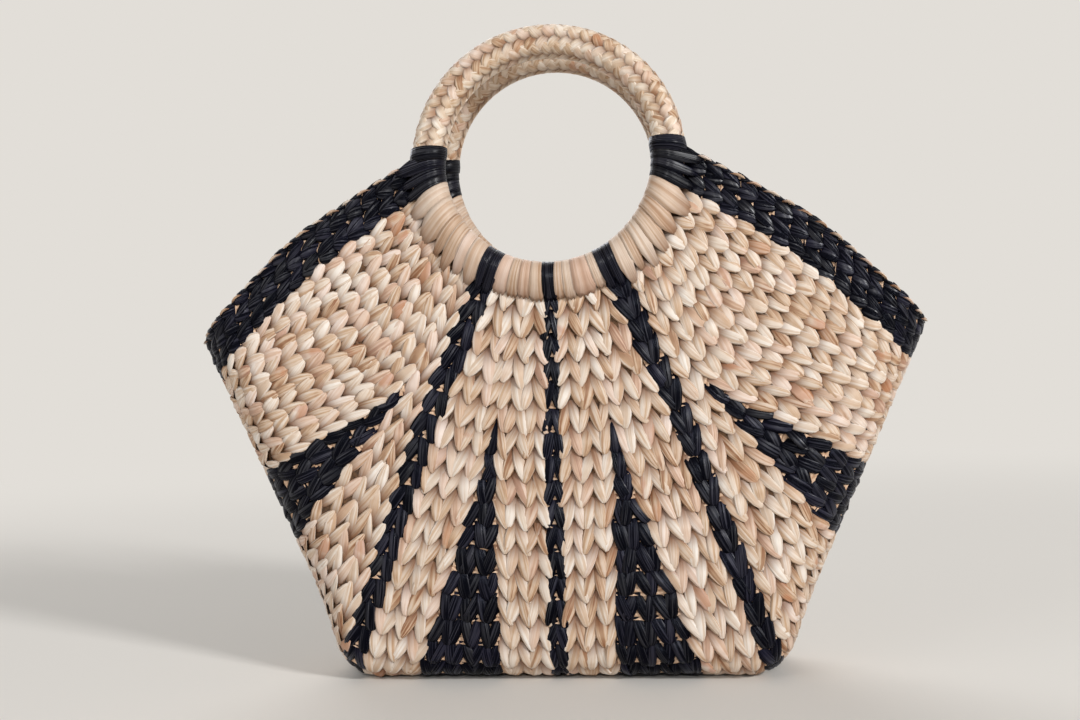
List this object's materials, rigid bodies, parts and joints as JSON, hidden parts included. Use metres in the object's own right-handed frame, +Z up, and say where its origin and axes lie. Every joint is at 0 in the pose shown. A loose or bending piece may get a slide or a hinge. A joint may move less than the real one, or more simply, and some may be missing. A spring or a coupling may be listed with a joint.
{
  "type": "water hyacinth tote bag",
  "caption": "Open half-moon tote twined from flat water hyacinth stakes, with black stripes and wedges fanning out from two plaited ring handles, standing on a flat base.",
  "frame": {"origin": "middle of the flat base, on the surface that the bag stands on", "axes": "+Z up through the ring handles, +X to the right across the width seen from the front, -Y towards the front"},
  "size_m": [0.4018, 0.08, 0.3543],
  "materials": {
    "natural_stakes": "dried flat plant strips, natural straw colour with fibre lines, low sheen",
    "black_stakes": "the same strips dyed black, with a cool sheen",
    "plait": "plaited natural strips, low sheen",
    "cane": "bent cane, unfinished"
  },
  "bodies": {
    "pouch": {"back_wall_centre_stripe": "black_stakes", "back_wall_left_base_wedge": "black_stakes", "back_wall_left_inner_stakes": "natural_stakes", "back_wall_left_lower_stakes": "natural_stakes", "back_wall_left_middle_stakes": "natural_stakes", "back_wall_left_side_wedge": "black_stakes", "back_wall_left_stripe": "black_stakes", "back_wall_left_upper_stakes": "natural_stakes", "back_wall_right_base_wedge": "black_stakes", "back_wall_right_inner_stakes": "natural_stakes", "back_wall_right_lower_stakes": "natural_stakes", "back_wall_right_middle_stakes": "natural_stakes", "back_wall_right_side_wedge": "black_stakes", "back_wall_right_stripe": "black_stakes", "back_wall_right_upper_stakes": "natural_stakes", "front_wall_centre_stripe": "black_stakes", "front_wall_left_base_wedge": "black_stakes", "front_wall_left_inner_stakes": "natural_stakes", "front_wall_left_lower_stakes": "natural_stakes", "front_wall_left_middle_stakes": "natural_stakes", "front_wall_left_side_wedge": "black_stakes", "front_wall_left_stripe": "black_stakes", "front_wall_left_upper_stakes": "natural_stakes", "front_wall_right_base_wedge": "black_stakes", "front_wall_right_inner_stakes": "natural_stakes", "front_wall_right_lower_stakes": "natural_stakes", "front_wall_right_middle_stakes": "natural_stakes", "front_wall_right_side_wedge": "black_stakes", "front_wall_right_stripe": "black_stakes", "front_wall_right_upper_stakes": "natural_stakes", "left_rim_corner": "black_stakes", "right_rim_corner": "black_stakes"},
    "front_flap": {"front_cane_hoop": "cane", "front_flap_centre_stripe": "black_stakes", "front_flap_left_inner_stakes": "natural_stakes", "front_flap_left_outer_stakes": "natural_stakes", "front_flap_left_rim": "black_stakes", "front_flap_left_stripe": "black_stakes", "front_flap_right_inner_stakes": "natural_stakes", "front_flap_right_outer_stakes": "natural_stakes", "front_flap_right_rim": "black_stakes", "front_flap_right_stripe": "black_stakes", "front_plaited_grip": "plait"},
    "back_flap": {"back_cane_hoop": "cane", "back_flap_centre_stripe": "black_stakes", "back_flap_left_inner_stakes": "natural_stakes", "back_flap_left_outer_stakes": "natural_stakes", "back_flap_left_rim": "black_stakes", "back_flap_left_stripe": "black_stakes", "back_flap_right_inner_stakes": "natural_stakes", "back_flap_right_outer_stakes": "natural_stakes", "back_flap_right_rim": "black_stakes", "back_flap_right_stripe": "black_stakes", "back_plaited_grip": "plait"}
  },
  "joints": [
    {"name": "front_flap_fold", "type": "hinge", "parent": "pouch", "child": "front_flap", "pos_m": [0, -0.03098, 0.188], "axis": [1, 0, 0], "range_deg": [-2.2, 35], "stiffness_Nm_per_rad": 0.8},
    {"name": "back_flap_fold", "type": "hinge", "parent": "pouch", "child": "back_flap", "pos_m": [0, 0.03098, 0.188], "axis": [-1, 0, 0], "range_deg": [-2.2, 35], "stiffness_Nm_per_rad": 0.8}
  ]
}
